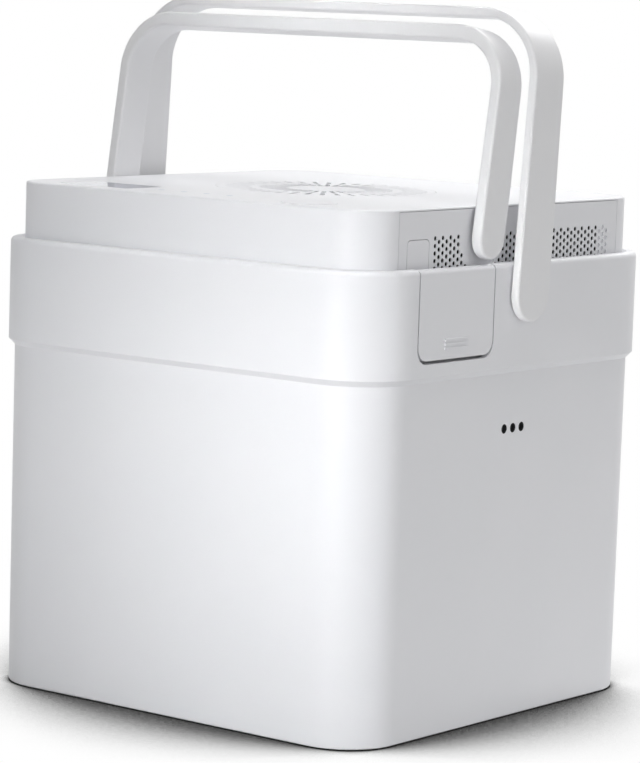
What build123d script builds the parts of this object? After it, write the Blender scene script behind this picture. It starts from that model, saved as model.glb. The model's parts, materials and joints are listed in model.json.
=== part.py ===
from build123d import *
import math
import os

# Water-activated power bank: a square tub holds the water, and a power module
# with the cell stack, the converter and the sockets drops into it.
# Millimetres. The origin is the middle of the footprint on the floor:
# +X is the side with the level holes, -Y is the front, +Z is up.

# ---- tub ----
tub_width = 230.0            # outside, across X, at the mouth
tub_depth = 230.0            # outside, across Y, at the mouth
tub_corner = 28.0            # outside corner radius at the mouth
tub_wall = 3.0
tub_floor = 3.5
tub_draft = 0.5              # how much each wall leans in from mouth to floor
tub_edge = 1.0               # rounding of the bottom edge
foot_height = 0.6
foot_radius = 9.0
foot_inset = 24.0            # from the tub's outside to the foot's axis
seat_height = 150.0          # top of the ledge that carries the module
seat_width = 5.5             # how far the ledge stands in from the wall
seat_thickness = 4.0
seal_height = 2.0
seal_width = 3.0
level_hole = 4.6             # three level holes in the right wall
level_pitch = 7.0
level_height = 140.0

# ---- collar round the mouth ----
collar_bottom = 166.5
collar_wall = 3.0
collar_bevel = 2.8
rim_height = 218.8
lip_height = 4.8             # the collar's lip over the top of the tub wall
lip_round = 2.6
lip_inner_round = 1.2

# ---- latch plates in the collar, one on each side ----
latch_width = 57.6           # along Y
latch_centre = -52.8         # Y of the plate's middle
latch_bottom = 177.0
latch_corner = 6.5
latch_gap = 0.9              # slot round the plate
latch_bottom_gap = 1.6
latch_pin_radius = 1.0
latch_pin_drop = 2.6         # pin axis below the rim
latch_pin_inset = 2.8        # pin axis in from the collar's outside
latch_pin_bite = 3.0         # how far the pin goes into the collar
latch_swing = 4.5            # degrees
latch_top_gap = 0.5
bridge_bottom = 196.0        # the strip of tub wall that the catch hooks under
bridge_height = 4.0
bridge_thickness = 1.2
window_margin = 1.1          # room round the plate in the tub wall
window_drop = 5.0            # room below the plate in the tub wall
pad_height = 6.5             # boss on the plate that pushes the catch
pad_width = 14.0
pad_depth = 1.2
rib_count = 3
rib_pitch = 2.0
rib_length = 18.0
rib_height = 0.7
rib_thickness = 0.9
rib_first = 4.9              # lowest rib above the plate's bottom
leaf_thickness = 0.4

# ---- power module ----
module_inset = 4.8           # module's outside in from the tub's outside
module_corner = 21.0
module_top = 245.5
module_wall = 2.5
module_roof = 2.8
module_round = 0.9           # rounding of the roof's edge
base_thickness = 3.0
panel_half = 89.0            # side panels run this far each way along Y
panel_gap = 0.25
shell_screw_inset = 14.0
shell_screw_radius = 1.5
shell_post_radius = 5.0

# ---- air intake in the side panels ----
hole_diameter = 2.2
hole_pitch = 3.46
intake_front = -61.0
intake_back = 81.0
intake_top = 231.6
intake_rows = 8
blind_columns = 3            # the last columns are dimples
blind_depth = 0.8
dish_radius = 15.0           # shallow dish round the handle's pivot
dish_depth = 0.8
dish_margin = 1.7
filter_thickness = 0.6
filter_gap = 1.4

# ---- service cover in each side panel ----
cover_front = -82.5
cover_back = -65.5
cover_bottom = 204.0
cover_top = 231.6
cover_corner = 2.5
cover_gap = 0.35
cover_recess = 1.6

# ---- inner handle, on the module ----
inner_pivot_y = -24.7
inner_pivot_z = 230.5
inner_tilt = 8.0             # degrees back from upright, as it stands
inner_gap = 0.8              # between the arm and the module
inner_arm = 5.8
inner_bar = 7.0
inner_reach = 97.8
inner_width_pivot = 19.6
inner_width_grip = 17.4
inner_corner = 28.6
inner_corner_inside = 22.0
inner_pin_radius = 4.0
inner_boss_radius = 9.0
inner_boss_length = 7.7
inner_head = 3.0

# ---- outer handle, on the collar ----
outer_pivot_y = 1.0
outer_pivot_z = 203.6
outer_tilt = 3.8
outer_gap = 0.6
outer_arm = 4.6
outer_bar = 4.6
outer_reach = 132.6
outer_width_pivot = 25.6
outer_width_grip = 22.5
outer_corner = 33.0
outer_corner_inside = 27.8
outer_pin_radius = 5.0
outer_head_radius = 8.0
outer_head = 1.5

handle_straight = 26.0       # arms keep their full width this far from the pivot
handle_edge = 1.3
pin_bore_floor = 2.0         # left outside the blind bore in each arm
running_clearance = 0.05
fit_clearance = 0.1

# ---- roof fittings ----
grille_radius = 54.0
grille_y = -2.0
grille_thickness = 2.5
grille_gap = 0.3
grille_slot = 2.4
grille_slots = 40
grille_rings = ((19.0, 33.0), (37.0, 50.0))
button_x = 60.6
button_y = -92.0
button_radius = 12.9
button_gap = 0.35
button_proud = 0.5
button_travel = 1.0
button_flange = 1.6
button_flange_thickness = 1.3
button_plunger = 3.0
display_x = -66.0
display_y = -86.0
display_length = 44.0
display_depth = 26.0
display_lens = 1.8
display_margin = 2.0
led_x = (-30.0, -16.0, -2.0, 12.0)
led_y = -90.0
led_radius = 1.6

# ---- fan ----
fan_size = 92.0
fan_height = 25.0
fan_bore = 43.0
fan_hub = 18.0
fan_blades = 7
fan_tip_gap = 1.5
fan_shaft = 2.0
fan_arm = 5.0
fan_floor = 2.5

# ---- boards ----
board_thickness = 1.6
control_x0, control_x1 = -89.0, 84.0
control_y0, control_y1 = -104.0, -62.0
control_drop = 11.1          # board's top below the underside of the roof
post_radius = 3.2
post_x = (-38.5, 36.0)
post_inset = 5.0
converter_length = 150.0
converter_depth = 88.0
standoff_height = 9.0

# ---- sockets in the back ----
port_width = 80.0
port_height = 16.0
port_z = 231.0
port_gap = 0.25
usb_x = (-26.0, -8.0)
usb_width, usb_height, usb_depth = 14.4, 7.0, 14.0
usb_wall = 0.5
usb_c_x = 9.0
usb_c_width, usb_c_height, usb_c_depth = 9.0, 3.3, 8.0
usb_c_wall = 0.35
jack_x = 26.0
jack_radius = 4.6
jack_bore = 2.9
jack_pin = 1.0
jack_depth = 12.0

# ---- cell stack ----
cell_count = 5
cell_pitch = 32.0
cell_thickness = 20.0
cell_depth = 150.0
cell_wall = 2.5
cell_window_depth = 126.0
cell_window_height = 96.0
cathode_thickness = 0.8
anode_thickness = 4.0
anode_depth = 140.0
anode_clearance = 5.0        # anodes stop this far above the cage floor
stack_floor = 20.0
cage_half_x = 99.0
cage_half_y = 86.0
cage_bar = 8.0
cage_height = 6.0
stud_radius = 3.0
stud_y = 60.0
bus_width = 12.0
bus_thickness = 1.5
nut_radius = 5.2
nut_height = 2.6
air_slot_near = 8.0          # air slots in the module's base, over each cell
air_slot_far = 45.5

# ---- places worked out from the sizes above ----
half_x = tub_width / 2
half_y = tub_depth / 2
collar_x = half_x + collar_wall
collar_y = half_y + collar_wall
wall_top = rim_height - lip_height
module_x = half_x - module_inset
module_y = half_y - module_inset
base_bottom = seat_height + seal_height
base_top = base_bottom + base_thickness
roof_under = module_top - module_roof
panel_top = module_top - module_round - 0.1
inner_x = module_x + inner_gap + inner_arm
outer_x = collar_x + outer_gap + outer_arm
latch_pin_z = rim_height - latch_pin_drop
latch_pin_x = collar_x - latch_pin_inset
control_top = roof_under - control_drop


def slab(width, depth, radius, bottom, top, draft=0.0):
    """A rounded rectangle pulled up from bottom to top; draft widens it on the way."""
    height = top - bottom
    angle = -math.degrees(math.atan(draft / height))
    outline = RectangleRounded(width, depth, radius)
    return Pos(0, 0, bottom) * extrude(outline, height, taper=angle)


def block(x0, x1, y0, y1, z0, z1):
    """A plain block between two corners."""
    middle = Pos((x0 + x1) / 2, (y0 + y1) / 2, (z0 + z1) / 2)
    return middle * Box(x1 - x0, y1 - y0, z1 - z0)


def rod(x, y, radius, bottom, top):
    """An upright cylinder."""
    return Pos(x, y, (bottom + top) / 2) * Cylinder(radius, top - bottom)


def cross_rod(y, z, radius, x0, x1):
    """A cylinder along X."""
    return Pos((x0 + x1) / 2, y, z) * Rot(0, 90, 0) * Cylinder(radius, x1 - x0)


def side_slab(y0, y1, z0, z1, x0, x1, radius):
    """A plate facing X with rounded corners."""
    outline = RectangleRounded(y1 - y0, z1 - z0, radius)
    placed = Plane(origin=(x0, (y0 + y1) / 2, (z0 + z1) / 2), x_dir=(0, 1, 0), z_dir=(1, 0, 0))
    return extrude(placed * outline, x1 - x0)


def left(shape):
    """The same piece on the other side."""
    return mirror(shape, about=Plane.YZ)


def both(shape):
    """A piece and its twin on the other side."""
    return [shape, left(shape)]


def cut_all(shape, tools):
    """Take every tool out of a shape in one cut."""
    return shape.cut(*tools) if tools else shape


def save(name, pieces):
    """Write one node, as one solid or as a group of separate solids."""
    solids = []
    for piece in pieces if isinstance(pieces, list) else [pieces]:
        solids.extend(piece.solids())
    shape = solids[0] if len(solids) == 1 else Compound(children=solids)
    export_step(shape, f"parts/{name}.step")


def latch_slot(grow, bottom, x0, x1, top):
    """The space that a latch plate takes, grown by a gap, on the right side."""
    y0 = latch_centre - latch_width / 2 - grow
    y1 = latch_centre + latch_width / 2 + grow
    deep = side_slab(y0, y1, bottom, top + 4 * latch_corner, x0, x1, latch_corner + grow)
    return deep & block(x0, x1, y0 - 1, y1 + 1, bottom - 1, top)


def make_tub():
    mouth = wall_top
    knee = collar_bottom
    low_w = tub_width - 2 * tub_draft
    low_d = tub_depth - 2 * tub_draft
    outside = slab(low_w, low_d, tub_corner - tub_draft, foot_height, knee, tub_draft)
    outside = fillet(outside.edges().group_by(Axis.Z)[0], tub_edge)
    outside += slab(tub_width, tub_depth, tub_corner, knee, mouth)
    grow = -2 * tub_wall
    bottom = foot_height + tub_floor
    inside = slab(low_w + grow, low_d + grow, tub_corner - tub_draft - tub_wall, bottom, knee, tub_draft)
    inside = fillet(inside.edges().group_by(Axis.Z)[0], tub_edge)
    inside += slab(tub_width + grow, tub_depth + grow, tub_corner - tub_wall, knee, mouth)
    tub = outside - inside
    ledge_w = tub_width + grow + 1.0
    inner_w = tub_width + grow - 2 * seat_width
    inner_d = tub_depth + grow - 2 * seat_width
    under = seat_height - seat_thickness
    ledge = slab(ledge_w, ledge_w + tub_depth - tub_width, tub_corner - tub_wall, under, seat_height)
    ledge -= slab(inner_w, inner_d, tub_corner - tub_wall - seat_width, under, seat_height)
    tub += ledge
    window = latch_slot(latch_gap + window_margin, latch_bottom - window_drop, half_x - tub_wall - 1,
                        collar_x, mouth)
    for side in both(window):
        tub -= side
    y0 = latch_centre - latch_width / 2 - latch_gap - window_margin
    y1 = latch_centre + latch_width / 2 + latch_gap + window_margin
    inner = half_x - tub_wall
    bridge = block(inner, inner + bridge_thickness, y0, y1, bridge_bottom, bridge_bottom + bridge_height)
    for side in both(bridge):
        tub += side
    for side in both(cross_rod(outer_pivot_y, outer_pivot_z, outer_pin_radius + fit_clearance, inner - 1, collar_x)):
        tub -= side
    seat = cross_rod(outer_pivot_y, outer_pivot_z, outer_head_radius + fit_clearance, inner - 1, inner + outer_head)
    for side in both(seat):
        tub -= side
    for step in (-1, 0, 1):
        tub -= cross_rod(step * level_pitch, level_height, level_hole / 2, inner - 2, half_x + 1)
    return tub


def make_collar():
    outside = slab(2 * collar_x, 2 * collar_y, tub_corner + collar_wall, collar_bottom, rim_height)
    outside = chamfer(outside.edges().group_by(Axis.Z)[0], collar_bevel)
    outside = fillet(outside.edges().group_by(Axis.Z)[-1], lip_round)
    collar = outside - slab(tub_width, tub_depth, tub_corner, collar_bottom, wall_top)
    mouth_w = tub_width - 2 * tub_wall
    mouth_d = tub_depth - 2 * tub_wall
    mouth = slab(mouth_w, mouth_d, tub_corner - tub_wall, wall_top, rim_height)
    flare = lip_inner_round
    mouth += slab(mouth_w, mouth_d, tub_corner - tub_wall, rim_height - flare, rim_height, flare)
    collar -= mouth
    slot = latch_slot(latch_gap, latch_bottom - latch_bottom_gap, half_x - tub_wall - 1, collar_x + 1, rim_height + 1)
    pin_reach = latch_width / 2 + latch_gap + latch_pin_bite + 0.2
    bore = Pos(latch_pin_x, latch_centre, latch_pin_z) * Rot(90, 0, 0) * Cylinder(
        latch_pin_radius + running_clearance, 2 * pin_reach)
    pivot = cross_rod(outer_pivot_y, outer_pivot_z, outer_pin_radius + fit_clearance, half_x - 1, collar_x + 1)
    for tool in (slot, bore, pivot):
        for side in both(tool):
            collar -= side
    return collar


def make_latch():
    """The right latch plate: a moulded plate that hangs from its pin under the rim."""
    top = rim_height - latch_top_gap
    plate = latch_slot(0, latch_bottom, half_x, collar_x, top)
    y0 = latch_centre - latch_width / 2
    y1 = latch_centre + latch_width / 2
    head = block(half_x - tub_wall + 0.6, half_x, y0, y1, latch_pin_z - 2.3, top)
    plate += head
    edge = plate.edges().filter_by(Axis.Y).group_by(Axis.Z)[-1].sort_by(Axis.X)[-1]
    plate = fillet(edge, lip_round - 0.4)
    plate += block(half_x - pad_depth, half_x, latch_centre - pad_width / 2, latch_centre + pad_width / 2,
                   bridge_bottom - 1.0 - pad_height, bridge_bottom - 1.0)
    for index in range(rib_count):
        z = latch_bottom + rib_first + index * rib_pitch
        plate += block(collar_x - 0.5, collar_x + rib_height, latch_centre - rib_length / 2,
                       latch_centre + rib_length / 2, z - rib_thickness / 2, z + rib_thickness / 2)
    bore = Pos(latch_pin_x, latch_centre, latch_pin_z) * Rot(90, 0, 0) * Cylinder(
        latch_pin_radius, latch_width + 2)
    return plate - bore


def make_latch_pin():
    length = latch_width + 2 * (latch_gap + latch_pin_bite)
    return Pos(latch_pin_x, latch_centre, latch_pin_z) * Rot(90, 0, 0) * Cylinder(latch_pin_radius, length)


def make_latch_spring():
    """A bent leaf riveted behind the plate; its free end rests on the bridge."""
    high = bridge_bottom + bridge_height + 8.0
    low = bridge_bottom + 0.6
    far = half_x - 0.05
    near = half_x - tub_wall + bridge_thickness + 0.05
    with BuildPart() as leaf:
        with BuildSketch(Plane.XZ.offset(-(latch_centre - pad_width / 2))):
            with BuildLine():
                Polyline((far, high), (far - leaf_thickness, high), (far - leaf_thickness, high - 4.0),
                         (near, low), (near + leaf_thickness, low), (far, high - 4.0), close=True)
            make_face()
        extrude(amount=-pad_width)
    return leaf.part


def handle(reach, half_span, arm, bar, corner, corner_inside, width_pivot, width_grip, pivot, tilt,
           pin_radius):
    """A flat strap bent to a U, wider at its round ends than at the grip."""
    tail = width_pivot / 2
    outer = Pos(0, (reach - tail) / 2) * Rectangle(2 * half_span, reach + tail)
    outer = fillet(outer.vertices().group_by(Axis.Y)[-1], corner)
    hollow = reach - bar + tail + 5
    inner = Pos(0, reach - bar - hollow / 2) * Rectangle(2 * (half_span - arm), hollow)
    inner = fillet(inner.vertices().group_by(Axis.Y)[-1], corner_inside)
    bow = extrude(Plane.XZ * (outer - inner), width_pivot, both=True)
    side = Polyline((-tail, 0), (-tail, handle_straight), (-width_grip / 2, reach + 1),
                    (width_grip / 2, reach + 1), (tail, handle_straight), (tail, 0), (-tail, 0))
    face = make_face(side) + Circle(tail)
    strap = bow & extrude(Plane.YZ * face, half_span + 1, both=True)
    strap = fillet(strap.edges().filter_by(lambda edge: edge.length > 2.0), handle_edge)
    blind = arm - pin_bore_floor
    bore = cross_rod(0, 0, pin_radius + running_clearance, half_span - arm - 1, half_span - arm + blind)
    for tool in both(bore):
        strap -= tool
    return Pos(0, *pivot) * Rot(-tilt, 0, 0) * strap


def handle_pin(pivot, radius, shank_from, shank_to, head_radius, head_to):
    """A shouldered pin whose head lies inside and whose shank carries one arm."""
    pin = cross_rod(*pivot, radius, shank_from, shank_to)
    return pin + cross_rod(*pivot, head_radius, head_to, shank_from)


def intake_holes():
    """Staggered holes in the right panel, and the dimples that end each row."""
    step_y = hole_pitch * math.sqrt(3) / 2
    columns = int((intake_back - intake_front) / step_y) + 1
    through = []
    dimples = []
    for column in range(columns):
        y = intake_front + column * step_y
        for row in range(intake_rows):
            z = intake_top - row * hole_pitch - (column % 2) * hole_pitch / 2
            if math.hypot(y - inner_pivot_y, z - inner_pivot_z) < dish_radius + dish_margin:
                continue
            blind = column >= columns - blind_columns
            start = module_x - (blind_depth if blind else module_wall + 1)
            tool = cross_rod(y, z, hole_diameter / 2, start, module_x + 1)
            (dimples if blind else through).append(tool)
    return through, dimples


def make_side_panel():
    x0 = module_x - module_wall
    edge = panel_half - panel_gap
    panel = block(x0, module_x, -edge, edge, base_top + panel_gap, panel_top - panel_gap)
    panel += cross_rod(inner_pivot_y, inner_pivot_z, inner_boss_radius, x0 - inner_boss_length, x0 + 0.5)
    panel -= cross_rod(inner_pivot_y, inner_pivot_z, dish_radius, module_x - dish_depth, module_x + 1)
    panel -= cross_rod(inner_pivot_y, inner_pivot_z, inner_pin_radius + fit_clearance,
                       x0 - inner_boss_length - 1, module_x + 1)
    panel -= side_slab(cover_front, cover_back, cover_bottom, cover_top,
                       module_x - cover_recess, module_x + 1, cover_corner)
    slack = 1.0
    panel -= block(x0 - 1, module_x + 1, latch_centre - pad_width / 2 - 2, latch_centre + pad_width / 2 + 2,
                   bridge_bottom - 12.0, bridge_bottom + slack)
    through, dimples = intake_holes()
    return cut_all(panel, through + dimples)


def make_service_cover():
    return side_slab(cover_front + cover_gap, cover_back - cover_gap, cover_bottom + cover_gap,
                     cover_top - cover_gap, module_x - cover_recess, module_x, cover_corner - cover_gap)


def make_intake_filter():
    x1 = module_x - module_wall - filter_gap
    low = intake_top - intake_rows * hole_pitch - 1.5
    sheet = block(x1 - filter_thickness, x1, intake_front - 3, intake_back + 3, low, intake_top + 3)
    sheet -= cross_rod(inner_pivot_y, inner_pivot_z, inner_boss_radius + 0.5, x1 - 5, x1 + 5)
    frame = block(x1, x1 + filter_gap, intake_front - 4.5, intake_back + 4.5, low - 1.5, intake_top + 4.5)
    frame -= block(x1 - 1, x1 + filter_gap + 1, intake_front - 3, intake_back + 3, low, intake_top + 3)
    frame -= cross_rod(inner_pivot_y, inner_pivot_z, inner_boss_radius + 0.5, x1 - 5, x1 + 5)
    return [sheet, frame]


def make_catch():
    """Spring catch behind the right panel: its nose hooks under the tub's bridge."""
    inside = module_x - module_wall
    nose = half_x - tub_wall + bridge_thickness
    foot = base_top + 3.0
    back = inside - 1.8
    face = inside - 1.0
    top = bridge_bottom - 0.4
    with BuildPart() as catch:
        with BuildSketch(Plane.XZ.offset(-(latch_centre - pad_width / 2))):
            with BuildLine():
                Polyline((back, foot), (inside, foot), (inside, foot + 8), (face, foot + 8), (face, top - 10),
                         (nose, top - 4), (nose, top), (back, top), close=True)
            make_face()
        extrude(amount=-pad_width)
    return catch.part


def make_module_shell():
    """Roof, front and back in one moulding, open at the sides for the panels."""
    shell = slab(2 * module_x, 2 * module_y, module_corner, base_top, module_top)
    shell = fillet(shell.edges().group_by(Axis.Z)[-1], module_round)
    shell -= slab(2 * (module_x - module_wall), 2 * (module_y - module_wall), module_corner - module_wall,
                  base_top, roof_under)
    for side in both(block(module_x - module_wall - 1, module_x + 1, -panel_half, panel_half,
                           base_top - 1, panel_top)):
        shell -= side
    spots = [(sx * (module_x - shell_screw_inset), sy * (module_y - shell_screw_inset))
             for sx in (-1, 1) for sy in (-1, 1)]
    for x, y in spots:
        shell += rod(x, y, shell_post_radius, base_top, roof_under + 0.5)
        shell -= rod(x, y, shell_screw_radius, base_top, base_top + 22)
    for x, y in control_posts():
        shell += rod(x, y, post_radius, control_top, roof_under + 0.5)
    shell -= rod(0, grille_y, grille_radius, roof_under - 1, module_top + 1)
    shell += grille_seat()
    shell -= rod(button_x, button_y, button_radius + button_gap, roof_under - 1, module_top + 1)
    lens = Pos(display_x, display_y, module_top - display_lens / 2)
    shell -= lens * Box(display_length, display_depth, display_lens)
    opening = Pos(display_x, display_y, module_top - module_roof / 2)
    shell -= opening * Box(display_length - 2 * display_margin, display_depth - 2 * display_margin,
                           module_roof + 2)
    for x in led_x:
        shell -= rod(x, led_y, led_radius + fit_clearance, roof_under - 1, module_top + 1)
    back = module_y - module_wall
    shell -= block(-port_width / 2, port_width / 2, back - 1, module_y + 1,
                   port_z - port_height / 2, port_z + port_height / 2)
    return shell


def grille_seat():
    """A step under the roof that the round grille drops onto."""
    seat_top = module_top - grille_thickness
    ring = rod(0, grille_y, grille_radius + 1.0, roof_under - 1.5, seat_top)
    return ring - rod(0, grille_y, grille_radius - 2.0, roof_under - 3, seat_top + 1)


def control_posts():
    return [(x, y) for x in post_x for y in (control_y0 + post_inset, control_y1 - post_inset)]


def make_base():
    base = slab(2 * module_x, 2 * module_y, module_corner, base_bottom, base_top)
    half = cell_thickness / 2 - cell_wall
    for index in range(cell_count):
        x = cell_x(index)
        for near, far in ((-air_slot_far, -air_slot_near), (air_slot_near, air_slot_far)):
            base -= block(x - half, x + half, near, far, base_bottom - 1, base_top + 1)
        base -= rod(x, -stud_y, stud_radius + fit_clearance, base_bottom - 1, base_top + 1)
    for x in anode_x():
        base -= rod(x, stud_y, stud_radius + fit_clearance, base_bottom - 1, base_top + 1)
    for sx in (-1, 1):
        for sy in (-1, 1):
            x, y = sx * (module_x - shell_screw_inset), sy * (module_y - shell_screw_inset)
            base -= rod(x, y, shell_screw_radius + fit_clearance, base_bottom - 1, base_top + 1)
            base -= rod(x, y, 3.2, base_bottom - 1, base_bottom + 1.6)
    return base


def make_shell_screws():
    screws = []
    for sx in (-1, 1):
        for sy in (-1, 1):
            x, y = sx * (module_x - shell_screw_inset), sy * (module_y - shell_screw_inset)
            screw = rod(x, y, shell_screw_radius - 0.1, base_bottom + 0.4, base_top + 20)
            screw += rod(x, y, 3.0, base_bottom, base_bottom + 1.5)
            screws.append(screw)
    return screws


def cell_x(index):
    return (index - (cell_count - 1) / 2) * cell_pitch


def anode_x():
    return [(index - cell_count / 2) * cell_pitch for index in range(cell_count + 1)]


def make_cell_frame(x):
    """A flat plastic box, open at the top, that keeps air behind its two cathodes."""
    half = cell_thickness / 2
    frame = block(x - half, x + half, -cell_depth / 2, cell_depth / 2, stack_floor, base_bottom)
    frame -= block(x - half + cell_wall, x + half - cell_wall, -cell_depth / 2 + 4, cell_depth / 2 - 4,
                   stack_floor + 4, base_bottom - 4)
    frame -= block(x - half + cell_wall, x + half - cell_wall, -40, 40, base_bottom - 5, base_bottom + 1)
    z = (stack_floor + base_bottom) / 2
    frame -= block(x - half - 1, x + half + 1, -cell_window_depth / 2, cell_window_depth / 2,
                   z - cell_window_height / 2, z + cell_window_height / 2)
    return frame


def make_cathodes(x):
    z = (stack_floor + base_bottom) / 2
    sheets = []
    for side in (-1, 1):
        outer = x + side * (cell_thickness / 2 - 0.5)
        inner = outer - side * cathode_thickness
        sheets.append(block(min(outer, inner), max(outer, inner), -cell_window_depth / 2, cell_window_depth / 2,
                            z - cell_window_height / 2, z + cell_window_height / 2))
    return sheets


def make_anode(x):
    plate = block(x - anode_thickness / 2, x + anode_thickness / 2, -anode_depth / 2, anode_depth / 2,
                  stack_floor + anode_clearance, base_bottom - 2)
    return plate + rod(x, stud_y, stud_radius, base_bottom - 6, base_top + bus_thickness + nut_height + 1)


def make_bus(y, spots):
    reach = max(spots) + bus_width / 2
    bar = block(-reach, reach, y - bus_width / 2, y + bus_width / 2, base_top, base_top + bus_thickness)
    for x in spots:
        bar -= rod(x, y, stud_radius + fit_clearance, base_top - 1, base_top + bus_thickness + 1)
    return bar


def make_nut(x, y):
    low = base_top + bus_thickness
    nut = Pos(x, y, low) * extrude(RegularPolygon(nut_radius, 6), nut_height)
    return nut - rod(x, y, stud_radius + fit_clearance, low - 1, low + nut_height + 1)


def make_cage():
    """Open frame under the module that holds the cells by their lower ends."""
    low = stack_floor - cage_height
    floor = block(-cage_half_x, cage_half_x, -cage_half_y, cage_half_y, low, stack_floor)
    floor -= block(-cage_half_x + cage_bar, cage_half_x - cage_bar, -cage_half_y + cage_bar,
                   cage_half_y - cage_bar, low - 1, stack_floor + 1)
    for y in (-cage_half_y / 2, 0, cage_half_y / 2):
        floor += block(-cage_half_x, cage_half_x, y - cage_bar / 2, y + cage_bar / 2, low, stack_floor)
    for sx in (-1, 1):
        for sy in (-1, 1):
            x = sx * (cage_half_x - cage_bar / 2)
            y = sy * (cage_half_y - cage_bar / 2)
            floor += block(x - cage_bar / 2, x + cage_bar / 2, y - cage_bar / 2, y + cage_bar / 2,
                           low, base_bottom)
    return floor


def make_grille():
    top = module_top
    low = module_top - grille_thickness
    plate = rod(0, grille_y, grille_radius - grille_gap, low, top)
    tools = []
    for index in range(grille_slots):
        angle = 360.0 * index / grille_slots
        for start, end in grille_rings:
            slot = SlotOverall(end - start, grille_slot)
            piece = extrude(Pos((start + end) / 2, 0) * slot, grille_thickness + 2)
            tools.append(Pos(0, grille_y, low - 1) * Rot(0, 0, angle) * piece)
    return cut_all(plate, tools)


def make_button():
    top = module_top + button_proud
    flange_top = roof_under - 0.2
    cap = rod(button_x, button_y, button_radius, flange_top - button_flange_thickness, top)
    cap = fillet(cap.edges().group_by(Axis.Z)[-1], 0.6)
    low = flange_top - button_flange_thickness
    cap += rod(button_x, button_y, button_radius + button_flange, low, flange_top)
    return cap + rod(button_x, button_y, button_plunger, control_top + switch_height() + button_travel + 0.2, low)


def switch_height():
    return 6.0


def make_switch():
    body = Pos(button_x, button_y, control_top + 1.75) * Box(6.0, 6.0, 3.5)
    return body + rod(button_x, button_y, 1.75, control_top + 3, control_top + switch_height())


def make_button_spring():
    low = control_top
    high = roof_under - 0.2 - button_flange_thickness
    return rod(button_x, button_y, 8.8, low, high) - rod(button_x, button_y, 8.0, low - 1, high + 1)


def make_fan_frame():
    top = roof_under - 1.5
    low = top - fan_height
    corner = 5.0
    frame = Pos(0, grille_y, low) * extrude(RectangleRounded(fan_size, fan_size, corner), fan_height)
    frame -= rod(0, grille_y, fan_bore, low + fan_floor, top + 1)
    frame -= rod(0, grille_y, fan_bore, low - 1, low + fan_floor + 1) - fan_spider(low)
    frame += rod(0, grille_y, fan_shaft, low, top - 5.0)
    hole = fan_size / 2 - corner
    for sx in (-1, 1):
        for sy in (-1, 1):
            frame -= rod(sx * hole, grille_y + sy * hole, 2.2, low - 1, top + 1)
    return frame


def fan_spider(low):
    hub = rod(0, grille_y, fan_hub - 1.0, low - 2, low + fan_floor + 1)
    for angle in (45, 135):
        arm = Pos(0, grille_y, low + fan_floor / 2) * Rot(0, 0, angle) * Box(2 * fan_bore + 4, fan_arm, fan_floor + 6)
        hub += arm
    return hub & rod(0, grille_y, fan_bore + 1, low - 1, low + fan_floor)


def make_fan_rotor():
    top = roof_under - 1.5
    low = top - fan_height + fan_floor + 0.8
    high = top - 2.0
    rotor = rod(0, grille_y, fan_hub, low, high)
    tip = fan_bore - fan_tip_gap
    blade = Box(tip - fan_hub + 2, 2.0, high - low - 3.0)
    for index in range(fan_blades):
        angle = 360.0 * index / fan_blades
        turn = Pos(0, grille_y, (low + high) / 2) * Rot(0, 0, angle)
        rotor += turn * Pos((tip + fan_hub - 2) / 2, 0, 0) * Rot(42, 0, 0) * blade
    rotor &= rod(0, grille_y, tip, low, high)
    return rotor - rod(0, grille_y, fan_shaft + running_clearance, low - 1, top - 4.6)


def make_control_board():
    low = control_top - board_thickness
    return block(control_x0, control_x1, control_y0, control_y1, low, control_top)


def make_converter_board():
    low = base_top + standoff_height
    return block(-converter_length / 2, converter_length / 2, -converter_depth / 2, converter_depth / 2,
                 low, low + board_thickness)


def make_standoffs():
    posts = []
    for sx in (-1, 1):
        for sy in (-1, 1):
            x = sx * (converter_length / 2 - 6)
            y = sy * (converter_depth / 2 - 6)
            posts.append(rod(x, y, 3.0, base_top, base_top + standoff_height))
    return posts


def make_converter_parts():
    low = base_top + standoff_height + board_thickness
    parts = [block(-20, 20, -32, 8, low, low + 14)]
    for x in (-58, -42):
        parts.append(rod(x, 20, 6.3, low, low + 18))
    for x in (40, 58):
        parts.append(rod(x, -18, 8.0, low, low + 9) - rod(x, -18, 3.5, low - 1, low + 10))
    fins = [block(34 + 5 * index, 36 + 5 * index, 8, 36, low + 2, low + 18) for index in range(6)]
    sink = block(32, 63, 8, 36, low, low + 3)
    for fin in fins:
        sink += fin
    parts.append(sink)
    return parts


def make_port_panel():
    y0 = module_y - module_wall
    half = port_width / 2 - port_gap
    z0 = port_z - port_height / 2 + port_gap
    z1 = port_z + port_height / 2 - port_gap
    panel = block(-half, half, y0, module_y - 0.4, z0, z1)
    for x in usb_x:
        panel -= Pos(x, y0, port_z) * Box(usb_width + 0.2, 3 * module_wall, usb_height + 0.2)
    slot = RectangleRounded(usb_c_width + 0.2, usb_c_height + 0.2, usb_c_height / 2)
    panel -= extrude(Plane.XZ * Pos(usb_c_x, port_z) * slot, -(module_y + 5))
    panel -= Pos(jack_x, y0, port_z) * Rot(90, 0, 0) * Cylinder(jack_radius + 0.1, 3 * module_wall)
    return panel


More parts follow.
